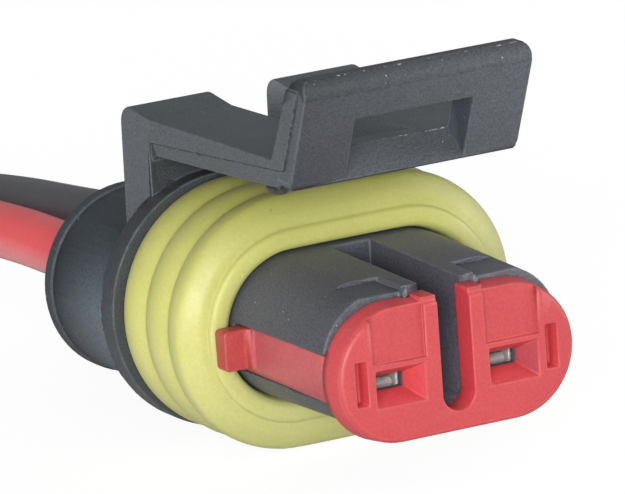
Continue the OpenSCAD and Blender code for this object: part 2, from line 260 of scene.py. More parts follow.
# %% Effect: slow patches
def make_patches():
    group, inside, outside = new_group("slow_patches", {"Size": 4.0}, ["Mask"])
    cloud = sized_texture(group, "ShaderNodeTexNoise", inside.outputs["Size"])
    cloud.inputs["Detail"].default_value = 2.0
    cloud.inputs["Roughness"].default_value = 0.55
    soft = remap(group, cloud.outputs["Fac"], low=0.3, high=0.7, easing="SMOOTHSTEP")
    group.links.new(soft, outside.inputs["Mask"])
    return group


# %% Effect: specks
def make_specks():
    group, inside, outside = new_group(
        "specks", {"Spacing": 0.8, "Radius": 0.06, "Share": 0.3}, ["Mask"]
    )
    cells = sized_texture(group, "ShaderNodeTexVoronoi", inside.outputs["Spacing"], feature="F1")
    dot = maths(group, "LESS_THAN", cells.outputs["Distance"], inside.outputs["Radius"])
    chance = add_node(group, "ShaderNodeSeparateColor")
    group.links.new(cells.outputs["Color"], chance.inputs["Color"])
    kept = maths(group, "LESS_THAN", chance.outputs["Red"], inside.outputs["Share"])
    group.links.new(maths(group, "MULTIPLY", dot, kept), outside.inputs["Mask"])
    return group


# %% Effect: edge wear and painted highlight
EDGE_BAND = "edge_band"


def make_edge_wear_and_highlight():
    """Paints the band of rounded edges paler, part wear and part painted highlight, more in some places
    than in others.
    """
    group, inside, outside = new_group("edge_wear_and_highlight", {"Size": 0.8, "Amount": 0.6}, ["Mask"])
    band = add_node(group, "ShaderNodeAttribute", attribute_name=EDGE_BAND)
    rubbed = sized_texture(group, "ShaderNodeTexNoise", inside.outputs["Size"])
    rubbed.inputs["Detail"].default_value = 5.0
    uneven = remap(group, rubbed.outputs["Fac"], low=0.38, high=0.62, out_low=0.25)
    worn_and_lit = maths(group, "MULTIPLY", band.outputs["Fac"], uneven)
    group.links.new(
        maths(group, "MULTIPLY", worn_and_lit, inside.outputs["Amount"]), outside.inputs["Mask"]
    )
    return group


# %% Effect: painted reflection on the underside
def make_paper_reflection():
    """Paints the lower side of a lead paler, as a painted reflection of the pale paper below it."""
    group, inside, outside = new_group("painted_underside_reflection", {"Amount": 0.5}, ["Mask"])
    place = add_node(group, "ShaderNodeTexCoord")
    way = add_node(group, "ShaderNodeSeparateXYZ")
    group.links.new(place.outputs["Normal"], way.inputs["Vector"])
    lower = remap(group, way.outputs["Z"], low=0.25, high=-0.55)
    group.links.new(
        maths(group, "MULTIPLY", lower, inside.outputs["Amount"]), outside.inputs["Mask"]
    )
    return group


GRAIN = make_grain()
PATCHES = make_patches()
SPECKS = make_specks()
EDGE_WEAR_AND_HIGHLIGHT = make_edge_wear_and_highlight()
PAPER_REFLECTION = make_paper_reflection()
print("effects:", ", ".join(g.name for g in (GRAIN, PATCHES, SPECKS, EDGE_WEAR_AND_HIGHLIGHT, PAPER_REFLECTION)))


# %% [markdown]
# One recipe builds every moulded finish: two tints mixed by the slow patches, painted light and shade
# where a piece has them, edges that are partly worn and partly a painted highlight, a painted reflection
# of the paper under a lead, and specks laid over them, a roughness that drifts with the patches, and the
# grain as a bump. Only the numbers differ from one material to the next, so they can be compared line by
# line.

# %% Recipe for a moulded material
# The attribute named here holds painted light and shade, which multiplies a material's colour.
PAINTED_LIGHT = "tone"
GRAIN_LOW, GRAIN_HIGH = 0.35, 0.65
SHADE_TINT = 0.4
ROUGH_DRIFT = 0.05


def use_group(tree, group, **values):
    """One of the effects, placed in a material with its own numbers."""
    node = add_node(tree, "ShaderNodeGroup", node_tree=group)
    for label, value in values.items():
        node.inputs[label].default_value = value
    return node


def mix_tints(tree, mask, first, second, blend="MIX"):
    """Mixes two colours by a mask. A colour is a socket or (r, g, b), a mask a socket or a number."""
    mix = add_node(tree, "ShaderNodeMix", data_type="RGBA", blend_type=blend)
    feed(tree, mask, mix.inputs["Factor"])
    colour_inputs = [socket for socket in mix.inputs if socket.type == "RGBA"]
    for socket, tint in zip(colour_inputs, (first, second)):
        feed(tree, (*tint, 1.0) if isinstance(tint, tuple) else tint, socket)
    return next(socket for socket in mix.outputs if socket.type == "RGBA")


def with_painted_light(tree, colour):
    """Multiplies a colour by the light and shade that are painted on the piece."""
    paint = add_node(tree, "ShaderNodeAttribute", attribute_name=PAINTED_LIGHT)
    return mix_tints(tree, 1.0, colour, paint.outputs["Color"], "MULTIPLY")


def moulded(
    name, tint, patch_tint, rough, grain, patch_mm=4.0, wear_and_highlight=None, specks=None, underside_reflection=None,
    painted=False
):
    """A finish. grain: (size in mm, depth in mm, shade); the edges and the underside: (tint, amount),
    the edges part wear and part painted highlight, the underside a painted reflection of the paper;
    specks: (tint, gap in mm, share)."""
    material = bpy.data.materials.new(name)
    material.use_nodes = True
    tree = material.node_tree
    shader = tree.nodes["Principled BSDF"]
    patches = use_group(tree, PATCHES, Size=patch_mm)
    colour = mix_tints(tree, patches.outputs["Mask"], tint, patch_tint)
    fine = use_group(tree, GRAIN, Size=grain[0])
    height = fine.outputs["Height"]
    shade = remap(tree, height, GRAIN_LOW, GRAIN_HIGH, 0.0, grain[2], "SMOOTHSTEP")
    colour = mix_tints(tree, shade, colour, tuple(c * SHADE_TINT for c in tint))
    # Painted light and shade, from the zones of the piece.
    if painted:
        colour = with_painted_light(tree, colour)
    # Paler rounded edges: part wear, part painted highlight.
    if wear_and_highlight:
        worn_and_lit = use_group(tree, EDGE_WEAR_AND_HIGHLIGHT, Amount=wear_and_highlight[1])
        colour = mix_tints(tree, worn_and_lit.outputs["Mask"], colour, wear_and_highlight[0])
    # A painted reflection of the paper on the lower side.
    if underside_reflection:
        pale = use_group(tree, PAPER_REFLECTION, Amount=underside_reflection[1])
        colour = mix_tints(tree, pale.outputs["Mask"], colour, underside_reflection[0])
    if specks:
        crumbs = use_group(tree, SPECKS, Spacing=specks[1], Share=specks[2])
        colour = mix_tints(tree, crumbs.outputs["Mask"], colour, specks[0])
    tree.links.new(colour, shader.inputs["Base Color"])
    smoothest, roughest = rough - ROUGH_DRIFT, rough + ROUGH_DRIFT
    drift = remap(tree, patches.outputs["Mask"], 0.0, 1.0, smoothest, roughest)
    tree.links.new(drift, shader.inputs["Roughness"])
    bump = add_node(tree, "ShaderNodeBump")
    bump.inputs["Distance"].default_value = mm(grain[1])
    tree.links.new(height, bump.inputs["Height"])
    tree.links.new(bump.outputs["Normal"], shader.inputs["Normal"])
    return material, shader


# %% [markdown]
# The housing is glass-filled nylon from a spark-eroded mould: charcoal, matt, with a coarse grain and a
# few pale crumbs. The lock comes from a smoother mould, so its red is more even. Flash is the same
# nylon, torn, and pale where it has been stretched; its dark tint, darker than the nylon itself, is
# painted shade, the shadow along the parting line. The seam beads carry that painted shadow all along,
# with a few pale crumbs.

# %% Plastics
# The paler edges of housing and lock are part wear and part painted highlight, and their painted tones
# hold light and shade.
housing_plastic, _ = moulded(
    "housing_plastic", (0.116, 0.130, 0.148), (0.128, 0.142, 0.160), 0.48, (0.10, 0.04, 0.62),
    wear_and_highlight=((0.20, 0.21, 0.22), 0.22), specks=((0.45, 0.45, 0.46), 0.6, 0.4), painted=True,
)
lock_plastic, _ = moulded(
    "lock_plastic", (0.63, 0.079, 0.086), (0.59, 0.070, 0.078), 0.45, (0.15, 0.012, 0.22),
    wear_and_highlight=((0.74, 0.16, 0.16), 0.25), painted=True,
)
flash_with_painted_shade, _ = moulded(
    "flash_with_painted_shade", (0.03, 0.033, 0.037), (0.42, 0.43, 0.44), 0.45, (0.1, 0.01, 0.2), patch_mm=0.4,
)
seam_painted_shadow, _ = moulded(
    "seam_painted_shadow", (0.03, 0.033, 0.037), (0.07, 0.073, 0.077), 0.55, (0.1, 0.01, 0.2), patch_mm=0.4,
    specks=((0.40, 0.41, 0.42), 0.5, 0.35),
)

# %% [markdown]
# Silicone is slightly clear: light enters it, spreads and leaves nearby, which softens every shadow
# on it. Subsurface scattering does that, and a little sheen gives the dusty bloom it has when seen
# edge on. The insulation is PVC, which is glossier and shows the lamps as soft streaks.

# %% Soft materials
seal_silicone, seal_shader = moulded(
    "seal_silicone", (0.64, 0.63, 0.222), (0.60, 0.60, 0.197), 0.45, (0.16, 0.010, 0.10), patch_mm=3.0,
    specks=((0.36, 0.34, 0.12), 1.3, 0.25), painted=True,
)
seal_shader.inputs["Subsurface Weight"].default_value = 0.35
seal_shader.inputs["Subsurface Radius"].default_value = (1.0, 1.0, 0.3)
seal_shader.inputs["Subsurface Scale"].default_value = mm(1.2)
seal_shader.inputs["Sheen Weight"].default_value = 0.06
wire_seal_silicone, _ = moulded(
    "wire_seal_silicone", (0.75, 0.50, 0.08), (0.68, 0.44, 0.06), 0.55, (0.2, 0.006, 0.2),
)
# The red lead's paler underside is a painted reflection of the paper.
red_pvc, _ = moulded(
    "red_pvc", (1.0, 0.130, 0.142), (0.98, 0.118, 0.130), 0.27, (0.3, 0.002, 0.06),
    underside_reflection=((0.95, 0.33, 0.35), 0.9),
)
black_pvc, _ = moulded(
    "black_pvc", (0.092, 0.100, 0.108), (0.108, 0.116, 0.124), 0.28, (0.3, 0.002, 0.1),
)

# %% [markdown]
# The terminals are copper alloy with a thin bright coat of tin. Tin is soft, so the coat is never a
# clean mirror: it is part shine and part pale scatter. Its pink patches are a painted reflection of the
# red lock in front of it.

# %% Metals
# The pink patch tint is a painted reflection of the red lock.
tinned_metal, tin_shader = moulded(
    "tinned_metal", (1.0, 0.97, 0.95), (1.0, 0.88, 0.84), 0.36, (0.25, 0.06, 0.1), patch_mm=0.4,
)
copper, copper_shader = moulded(
    "copper_strands", (0.80, 0.42, 0.26), (0.70, 0.34, 0.20), 0.3, (0.08, 0.003, 0.2), patch_mm=1.0,
)
tin_shader.inputs["Metallic"].default_value = 0.45
copper_shader.inputs["Metallic"].default_value = 1.0
print("materials:", ", ".join(sorted(m.name for m in bpy.data.materials)))


# %% [markdown]
# Every piece needs two things beside its shape: a material and the body it moves with. A piece that
# takes the place of a solid also hides that solid.

# %% Dress a piece and let it ride
def add_piece(piece, material, slot, body, *nodes):
    """Finishes a new piece: its material, the body it rides on, the nodes it stands for. Its slot is not
    used.
    """
    piece.data.materials.clear()
    piece.data.materials.append(material)
    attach(piece, body)
    if nodes:
        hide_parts(*nodes)
    return piece


# %% [markdown]
# A moulding has no knife edges: the mould's own cutter and polish leave every edge slightly round,
# and that thin round is what catches the light. The solids keep their edges sharp, because their job
# is fit. So a merged copy of each rigid moulding gets a Bevel modifier. Its width can't be the same
# everywhere: beside a narrow step a wide round would swallow the step. The script therefore walks
# from each crease straight across the land beside it, and gives the edge a width that the land can
# carry.

# %% Width of the land beside a crease
CREASE = math.radians(34)
WEDGE = math.radians(25)
STRAIGHT_ON = math.radians(150)
SHARP = math.radians(58)
LAND_SHARE = 0.42
ATTEMPTS = 6


def leave_face(face, entry, start, across):
    """Where a straight path over a face leaves it: how far that is, and through which side."""
    best = (math.inf, None)
    middle = face.calc_center_median()
    for side in face.edges:
        if side == entry:
            continue
        first, second = (corner.co for corner in side.verts)
        outward = face.normal.cross(second - first)
        if outward.dot(middle - first) > 0:
            outward.negate()
        facing = across.dot(outward)
        if facing > 1e-12:
            best = min(best, ((first - start).dot(outward) / facing, side), key=lambda b: b[0])
    return best


def land_width(face, edge, share, limit):
    """How far the land on one side of a crease reaches, from a point on it to the next crease."""
    start = edge.verts[0].co.lerp(edge.verts[1].co, share)
    across = face.normal.cross(edge.verts[1].co - edge.verts[0].co).normalized()
    if across.dot(face.calc_center_median() - start) < 0:
        across.negate()
    gone = 0.0
    while gone < limit:
        reach, edge = leave_face(face, edge, start, across)
        if edge is None:
            break
        gone += max(reach, 0.0)
        start = start + across * reach
        beyond = [other for other in edge.link_faces if other != face]
        if len(beyond) != 1 or edge.calc_face_angle(0.0) > CREASE:
            break
        face = beyond[0]
        across = (across - face.normal * across.dot(face.normal)).normalized()
    return gone


# %% Room at the corners of a land
def is_crease(edge):
    return len(edge.link_faces) == 2 and edge.calc_face_angle(0.0) > CREASE


def next_crease(corner, edge, land):
    """The other crease that bounds a land at one of its corners, and the angle between the two."""
    angle, side = 0.0, edge
    while True:
        loop = next(loop for loop in corner.link_loops if loop.face == land)
        angle += loop.calc_angle()
        side = loop.edge if loop.edge != side else loop.link_loop_prev.edge
        if is_crease(side) or len(side.link_faces) != 2:
            return side, angle
        land = next(other for other in side.link_faces if other != land)


def corner_room(edge):
    """The widest round that the corners at both ends of a crease leave room for."""
    room = math.inf
    for corner in edge.verts:
        for face in edge.link_faces:
            side, angle = next_crease(corner, edge, face)
            if angle < WEDGE:
                return 0.0
            if angle < STRAIGHT_ON:
                shorter = min(side.calc_length(), edge.calc_length())
                room = min(room, shorter * math.sin(min(angle, math.pi / 2)))
    return room


# %% [markdown]
# On the solid, the paddle's round top corner and the proud panel beside it turn about different
# middles. That leaves a paper-thin fin on each side, up to 0.3 mm high, which a bevel would make
# plain to see. A real paddle is smooth there, so the copy lays the fin's points onto the corner.

# %% Fins on the paddle
CORNER_X, CORNER_Z, CORNER_R = 5.47, 13.9, 0.55
FIN_X, FIN_Z = 6.0, 13.93
FIN_SUNK = 0.004


def lay_fins_down(work):
    """Moves the points of the fins to just under the paddle's round corners."""
    laid = 0
    for vert in work.verts:
        place = vert.co / MM
        if abs(place.x) > FIN_X and place.z > FIN_Z:
            reach = math.sqrt(max(CORNER_R ** 2 - (place.z - CORNER_Z) ** 2, 0.0))
            vert.co.x = math.copysign(mm(CORNER_X + reach - FIN_SUNK), place.x)
            laid += 1
    return laid


# %% [markdown]
# The bevel itself is a modifier, because it rounds a whole network of creases at once and closes the
# corners where they meet. After it the lands must look flat, so their normals are weighted by size.

# %% Bevelled copy
LAND_SAMPLES = (0.15, 0.5, 0.85)
LEAST_SHARE = 0.1
BEVEL_STEPS = 2
LAND_SLOT, ROUND_SLOT = 0, 1


def mark_widths(work, width, cramped):
    """Writes each crease's share of the full bevel width. Creases without room stay sharp."""
    weights = work.edges.layers.float.new("bevel_weight_edge")
    creases = [edge for edge in work.edges if is_crease(edge)]
    for edge in creases:
        land = min(
            land_width(face, edge, share, width / LAND_SHARE)
            for face in edge.link_faces for share in LAND_SAMPLES
        )
        weight = min(1.0, min(land, corner_room(edge)) * LAND_SHARE / width)
        if weight > LEAST_SHARE and not any(corner.index in cramped for corner in edge.verts):
            edge[weights] = weight
    return {corner.index: corner.co.copy() for edge in creases for corner in edge.verts}


def settle(piece):
    """Writes the result of a piece's modifiers into its mesh."""
    graph = bpy.context.evaluated_depsgraph_get()
    piece.data = bpy.data.meshes.new_from_object(piece.evaluated_get(graph))
    piece.modifiers.clear()
    return piece.data


def bevelled(solid, name, width, cramped):
    """A merged copy of a solid with rounded creases, and the places of the creases' corners."""
    mesh = solid.copy()
    work = bmesh.new()
    work.from_mesh(mesh)
    bmesh.ops.remove_doubles(work, verts=work.verts, dist=mm(0.0005))
    bmesh.ops.dissolve_degenerate(work, dist=mm(0.0002), edges=work.edges)
    lay_fins_down(work)
    work.verts.index_update()
    corners = mark_widths(work, mm(width), cramped)
    work.to_mesh(mesh)
    work.free()
    mesh.materials.clear()
    for _ in (LAND_SLOT, ROUND_SLOT):
        mesh.materials.append(None)
    mesh.polygons.foreach_set("use_smooth", [True] * len(mesh.polygons))
    piece = link_piece(name, mesh)
    bevel = piece.modifiers.new("edge_round", "BEVEL")
    bevel.width = mm(width)
    bevel.segments = BEVEL_STEPS
    bevel.limit_method = "WEIGHT"
    bevel.use_clamp_overlap = False
    bevel.loop_slide = False
    bevel.material = ROUND_SLOT
    settle(piece).set_sharp_from_angle(angle=SHARP)
    normals = piece.modifiers.new("flat_lands", "WEIGHTED_NORMAL")
    normals.keep_sharp = True
    settle(piece)
    return piece, corners


# %% [markdown]
# Where several creases meet in a cramped corner, the rounds can still cross each other: a point then
# leaves the solid's surface, or a face turns its back. So the script checks its own work. It measures
# the bevelled copy against the solid, keeps the corners sharp where that has happened, and bevels
# the piece again.

# %% Check against the solid
STRAY_SHARE = 0.6
TURNED_BACK = -0.2


def nearest_corner(place, corners):
    return min(corners, key=lambda index: (corners[index] - place).length_squared)


def cramped_corners(mesh, solid, corners, reach):
    """The corners at which a bevelled copy has left its solid or folded over."""
    surface = BVHTree.FromPolygons(
        [vert.co for vert in solid.vertices], [face.vertices for face in solid.polygons]
    )
    work = bmesh.new()
    work.from_mesh(mesh)
    strays = {vert for vert in work.verts if surface.find_nearest(vert.co)[3] > reach}
    places = []
    for vert in strays:
        settled = [e.other_vert(vert).co for e in vert.link_edges if e.other_vert(vert) not in strays]
        places += sorted(settled, key=lambda place: (place - vert.co).length)[:1]
    for face in work.faces:
        place = face.calc_center_median()
        if face.normal.dot(surface.find_nearest(place)[1]) < TURNED_BACK:
            places.append(place)
    found = {nearest_corner(place, corners) for place in places}
    work.free()
    return found


# %% [markdown]
# These tones are mostly painted light and shade, laid over the plastic's own colour. The sleeve is
# painted darker where the flange and the seal shade it, and bluer than the core; the key slot, the
# risers' sides and the fillet at the flange are painted paler where light falls in; the hollows under
# the arms are painted darker; and tops, sides and faces that look other ways each get their own painted
# tone. Noise can't put such a change in its place, so it is painted face by face: the first zone that
# holds the face's centre gives its tone, and the tone may drift along x, y and z from the zone's middle.
# A zone takes in both halves of the plug, so it counts x from the middle, but its drift along x runs on
# from the left side to the right.
# These tones are chosen one by one. Part of what they hold is light that the lamps below don't give,
# such as the glow on the fillet, so with other lamps they would be chosen again.

# %% Painted light and shade
FLAT = (0, 0, 0)
FACING = 0.6
DARKEST = -0.8
HOUSING_LIGHT_AND_SHADE = (
    # lowest corner, highest corner, way that the face looks, painted tone of light and shade, drift
    # along x, y and z per mm, and where there is a fourth number, drift along y that changes with z
    ((0, 18.1, -6), (9.2, 18.75, 5.6), None, (1.45, 1.45, 1.45), (0, 0, -0.03)),
    ((0, 24.4, -6), (8.3, 27.1, 5.8), None, (0.46, 0.52, 0.53), FLAT),
    ((0, 18.7, -6), (7.9, 24.4, 0), None, (1.42, 1.56, 1.66), (0, -0.225, 0)),
    ((0, 18.7, 0), (7.9, 24.4, 3.5), None, (0.90, 1.04, 1.13), (0, -0.182, -0.33, 0.099)),
    ((0, 18.7, 3.5), (7.9, 24.4, 5.6), None, (0.38, 0.46, 0.51), (0, -0.02, 0)),
    ((0, 16.6, -6), (9.3, 17.0, 7.3), (0, 1, 0), (0.60, 0.62, 0.58), FLAT),
    ((0, 16.6, -6), (9.3, 18.1, 7.3), None, (0.66, 0.66, 0.68), (0, 0, -0.08)),
    ((0, 17, 8.4), (6.3, 17.8, 9.4), None, (0.40, 0.42, 0.41), FLAT),
    ((0, 16.6, 4.5), (6.2, 21, 8.9), (0, 1, 0), (0.33, 0.37, 0.36), FLAT),
    ((1.9, 16.6, 4.5), (5.9, 21, 9.6), (1, 0, 0), (0.33, 0.37, 0.36), FLAT),
    ((0, 9.2, -3), (1.2, 9.8, 4.4), None, (0.85, 0.85, 0.90), FLAT),
    ((0, 1, -3), (1.2, 9.8, 4.4), (1, 0, 0), (1.42, 1.24, 1.38), (0, 0, -0.07)),
    ((0, 1, -3), (1.2, 9.8, 4.4), None, (1.35, 1.25, 1.36), FLAT),
    ((1.6, 1, 3.6), (2.1, 1.6, 4.5), (0, -1, 0), (1.7, 1.8, 1.75), FLAT),
    ((0, 1, -4), (7, 9.8, 5), None, (1.20, 1.13, 1.20), (0.025, 0.02, 0)),
    ((1.6, 17.5, 5), (1.8, 20.7, 14.5), (1, 0, 0), (2.2, 2.2, 2.2), (0, 0, 0.22)),
    ((1.6, 17.5, 5), (6.3, 20.7, 14.5), (1, 0, 0), (1.20, 1.20, 1.20), FLAT),
    ((1.5, 4.3, 8.8), (1.8, 17.5, 11), (1, 0, 0), (1.6, 1.6, 1.65), FLAT),
    ((5.9, 4.3, 8.8), (6.3, 17.7, 11), (1, 0, 0), (1.10, 1.10, 1.08), FLAT),
    ((0, 3, 8.9), (3.2, 5.3, 10.5), (0, -1, 0), (0.87, 0.87, 0.87), FLAT),
    ((0, 4.3, 9), (6.3, 20.7, 14.5), (0, 0, 1), (0.93, 1.04, 1.05), (0.03, 0, 0)),
    ((0, 1.8, 13.6), (6.3, 4.3, 14.5), None, (0.62, 0.62, 0.62), (0.05, 0, 0)),
    ((5.9, 1.8, 8.9), (6.3, 5.2, 14.5), (1, 0, 0), (1.02, 1.02, 1.00), FLAT),
    ((2.9, 1.8, 9.5), (3.2, 4.3, 13), (1, 0, 0), (0.55, 0.60, 0.66), FLAT),
    ((0, 1.8, 8.9), (6.3, 4.3, 14.5), None, (0.77, 0.77, 0.78), (0.035, 0, 0)),
)
# The lock's tones are painted light and shade too: the hook is less blue where the yellow seal's
# reflection is painted on it, and the side arm, the mating face and the pocket walls each get their own
# painted tone, the arm paler and greyer towards the front.
LOCK_LIGHT_AND_SHADE = (
    ((6.2, 8, -2), (7.6, 9.7, 3), None, (0.86, 0.92, 0.80), FLAT),
    ((5, 1.5, -3), (6.3, 9.7, 4), (1, 0, 0), (1.10, 1.85, 1.90), (0, -0.04, 0)),
    ((0, 0, -3), (1.4, 1.5, 4), (1, 0, 0), (1.22, 0.95, 1.1), FLAT),
    ((0, 0.1, 0), (6, 0.3, 4), (0, 1, 0), (0.95, 0.95, 0.95), FLAT),
    ((3, 0.15, -1.2), (4.6, 3, 1.2), (1, 0, 0), (0.80, 1.10, 1.25), FLAT),
    ((0, 0.15, -3), (7.6, 3, 4), None, (1.2, 1.15, 1.2), FLAT),
)


def zone_of(face, zones):
    """The first zone that holds a face, or nothing."""
    place = face.center / MM
    place.x = abs(place.x)
    for zone in zones:
        low, high, way = zone[:3]
        looks = way is None or abs(face.normal.dot(Vector(way))) > FACING
        if looks and all(a <= c <= b for a, c, b in zip(low, place, high)):
            return zone
    return None


def drift_at(place, low, high, drift):
    """How far the painted light and shade has drifted at a place, as a share of its value in the zone's
    middle.
    """
    middle = (Vector(low) + Vector(high)) / 2
    middle.x = 0.0
    off = place - middle
    twist = sum(drift[3:]) * off.y * off.z
    return max(off.dot(Vector(drift[:3])) + twist, DARKEST)


def paint_light_and_shade(mesh, zones):
    """Paints each face's corners with the painted light and shade of its zone."""
    paint = mesh.attributes.new(PAINTED_LIGHT, "FLOAT_COLOR", "CORNER")
    values = []
    for face in mesh.polygons:
        zone = zone_of(face, zones)
        for vert in face.vertices:
            tone, share = (1.0, 1.0, 1.0), 1.0
            if zone:
                low, high, _, tone, drift = zone
                share += drift_at(mesh.vertices[vert].co / MM, low, high, drift)
            values += [channel * share for channel in tone] + [1.0]
    paint.data.foreach_set("color", values)


# %% Rounded copy of a rigid moulding
def rounded_copy(node, name, width):
    """A solid's bevelled copy, bevelled again until no corner has left the solid."""
    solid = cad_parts[node].data
    cramped = set()
    for _ in range(ATTEMPTS):
        piece, corners = bevelled(solid, name, width, cramped)
        found = cramped_corners(piece.data, solid, corners, mm(width * STRAY_SHARE))
        if found <= cramped:
            break
        cramped |= found
        bpy.data.objects.remove(piece)
    mesh = piece.data
    band = mesh.attributes.new(EDGE_BAND, "FLOAT", "FACE")
    band.data.foreach_set("value", [float(face.material_index) for face in mesh.polygons])
    mesh.polygons.foreach_set("material_index", [LAND_SLOT] * len(mesh.polygons))
    print(name, "has", len(mesh.polygons), "faces, and", len(cramped), "corners left sharp")
    return piece


housing = add_piece(
    rounded_copy("plug_housing", "housing_shell", 0.1),
    housing_plastic, "housing_plastic", "plug", "plug_housing",
)
lock = add_piece(
    rounded_copy("secondary_lock", "sliding_lock", 0.08),
    lock_plastic, "lock_plastic", "lock", "secondary_lock",
)
paint_light_and_shade(housing.data, HOUSING_LIGHT_AND_SHADE)
paint_light_and_shade(lock.data, LOCK_LIGHT_AND_SHADE)
for side in ("left", "right"):
    add_piece(
        rounded_copy(side + "_terminal", side + "_contact", 0.04),
        tinned_metal, "tinned_metal", "plug", side + "_terminal",
    )

# %% [markdown]
# Where the halves of a mould meet, a film of plastic creeps out and tears off unevenly. On this
# housing the line runs along the arms, up the sides of the paddle, along its top and round the
# flange. It is modelled as a thin bead whose thickness changes from point to point, half sunk in
# the wall. The random numbers are seeded, so the bead is the same on every run.

# %% Flash on the parting lines
FLASH_STEP = 0.13
FLASH_D = 0.10
FLASH_WIDTHS = (0.15, 0.5, 0.8, 1.0, 1.2)
FLASH_WANDER = 0.012
FLASH_SEED = 11


def flash_path(corners, chance, wander):
    """Points every FLASH_STEP mm along a chain of corners, each a little off its line."""
    path = []
    for start, end in zip(corners, corners[1:]):
        start, end = Vector(start), Vector(end)
        steps = max(1, round((end - start).length / FLASH_STEP))
        for k in range(steps):
            off = Vector([chance.uniform(-wander, wander) for _ in range(3)])
            path.append(start.lerp(end, k / steps) + off)
    return path


def as_mesh(curve_piece):
    """Turns a curve piece into a mesh piece of the same name."""
    graph = bpy.context.evaluated_depsgraph_get()
    mesh = bpy.data.meshes.new_from_object(curve_piece.evaluated_get(graph))
    name = curve_piece.name
    bpy.data.objects.remove(curve_piece)
    return link_piece(name, mesh)


def slot_ring(radius, y, centre_z, run, steps=96):
    """Points round a slot with round ends, in the plane at y."""
    ring = []
    for k in range(steps + 1):
        turn = 2 * math.pi * k / steps
        shift = run if math.cos(turn) >= 0 else -run
        ring.append((shift + radius * math.cos(turn), y, centre_z + radius * math.sin(turn)))
    return ring


ARM_SIDE = 6.11
PARTING = [(17.6, 8.94), (11.6, 9.36), (4.22, 9.92), (2.35, 13.8)]
PADDLE_EDGE = [(5.6, 2.27, 14.375), (5.82, 2.28, 14.25), (5.97, 2.29, 14.03)]
LINES = {
    "left_arm": [(-ARM_SIDE, y, z) for y, z in PARTING],
    "right_arm": [(ARM_SIDE, y, z) for y, z in PARTING],
    "paddle_top": [(-x, y, z) for x, y, z in reversed(PADDLE_EDGE)] + PADDLE_EDGE,
    "window_sill": [(-3.05, 5.1, 10.27), (3.05, 5.1, 10.27)],
    "flange": slot_ring(6.15, 17.86, 0.95, 3),
}


def make_flash():
    chance = random.Random(FLASH_SEED)
    for line, corners in LINES.items():
        path = flash_path(corners, chance, FLASH_WANDER)
        widths = [chance.choice(FLASH_WIDTHS) for _ in path]
        bead = as_mesh(tube_along("flash_" + line, [path], FLASH_D, widths, smooth=False, sides=8))
        # Beads on the arms and the flange are dark as a painted shadow along the seam; the torn ones on
        # the paddle are dark as painted shade, with pale flecks of stretched flash.
        torn = line in ("paddle_top", "window_sill")
        add_piece(bead, flash_with_painted_shade if torn else seam_painted_shadow, "housing_plastic", "plug")
        print("flash", line, len(path), "points")


make_flash()

# %% [markdown]
# Under the left arm a short dark bent tube hangs from the parting line, in the dark seam finish. It
# thins towards its free end.

# %% Sliver under the left arm
SLIVER = [(-5.8, 4.7, 8.95), (-5.8, 5.2, 8.77), (-5.8, 5.8, 8.70), (-5.8, 6.4, 8.80)]
sliver = as_mesh(tube_along("dark_sliver", [SLIVER], 0.40, (1.0, 1.0, 0.95, 0.75), sides=12))
add_piece(sliver, seam_painted_shadow, "housing_plastic", "plug")
print("sliver:", round(route_length(SLIVER) / MM, 2), "mm long")

# %% [markdown]
# The interface seal is a thick ring of silicone with round ribs, made in one piece round the oblong
# core. Its section is the same everywhere, so it is spun: half a turn of the section makes one round
# end, the ends are moved out by the straight run, extruded to the middle, and mirrored. The outside
# of the ring runs a little less straight than its bore, so each point moves by its own run.

# %% Section of the interface seal
CENTRE_Z = 0.95
SEAL_FRONT, SEAL_BACK = 9.7, 16.7
BORE_R, LIP_R, VALLEY_R = 3.5, 4.65, 5.7
LIP_T = 0.35
RIB_DEPTH, RIBS = 0.5, 3
RIB_SWEEP, FIRST_RIB_SWEEP = 46.5, 20.5
BORE_RUN, OUTER_RUN = 3.0, 2.8
SEAL_R = VALLEY_R + RIB_DEPTH
SEAL_TURN_STEPS = 24
ARC_SHARE = 0.9


def rib_arc(middle_y, crest, valley_r, depth, first, last, steps):
    """One round rib, as (radius, y) points between two angles. crest is half of its pitch."""
    centre_r, arc_r = valley_r - crest * ARC_SHARE, crest * ARC_SHARE + depth
    return [
        (centre_r + arc_r * math.cos(turn), middle_y + arc_r * math.sin(turn))
        for turn in (math.radians(first + (last - first) * k / steps) for k in range(steps + 1))
    ]


def seal_section():
    """The closed outline, as (radius, y) points, from the front of the bore round the outside."""
    face_y = SEAL_FRONT + LIP_T
    step = (SEAL_BACK - face_y) / RIBS
    outline = [
        (BORE_R, SEAL_FRONT), (4.0, SEAL_FRONT), (4.4, SEAL_FRONT + 0.02),
        (4.58, SEAL_FRONT + 0.08), (LIP_R, SEAL_FRONT + 0.2), (LIP_R + 0.03, face_y - 0.05),
        (LIP_R + 0.12, face_y), (5.15, face_y + 0.01), (5.35, face_y + 0.08), (5.75, 10.37),
    ]
    for k in range(RIBS):
        first = FIRST_RIB_SWEEP if k == 0 else RIB_SWEEP
        middle = face_y + (k + 0.5) * step
        outline += rib_arc(middle, step / 2, VALLEY_R, RIB_DEPTH, -first, RIB_SWEEP, 8)
    outline += [(5.2, SEAL_BACK), (4.4, SEAL_BACK), (BORE_R, SEAL_BACK), (BORE_R, 13.2)]
    return outline


section = seal_section()
print("seal section:", len(section), "points, widest at radius",
      round(max(r for r, _ in section), 2), "mm")


# %% Finish a mesh
def finish_mesh(work, name):
    """Closes a bmesh: merges doubles, turns its faces outwards and links it as a smooth piece."""
    bmesh.ops.remove_doubles(work, verts=work.verts, dist=mm(0.001))
    bmesh.ops.recalc_face_normals(work, faces=work.faces)
    mesh = bpy.data.meshes.new(name)
    work.to_mesh(mesh)
    work.free()
    mesh.polygons.foreach_set("use_smooth", [True] * len(mesh.polygons))
    return link_piece(name, mesh)


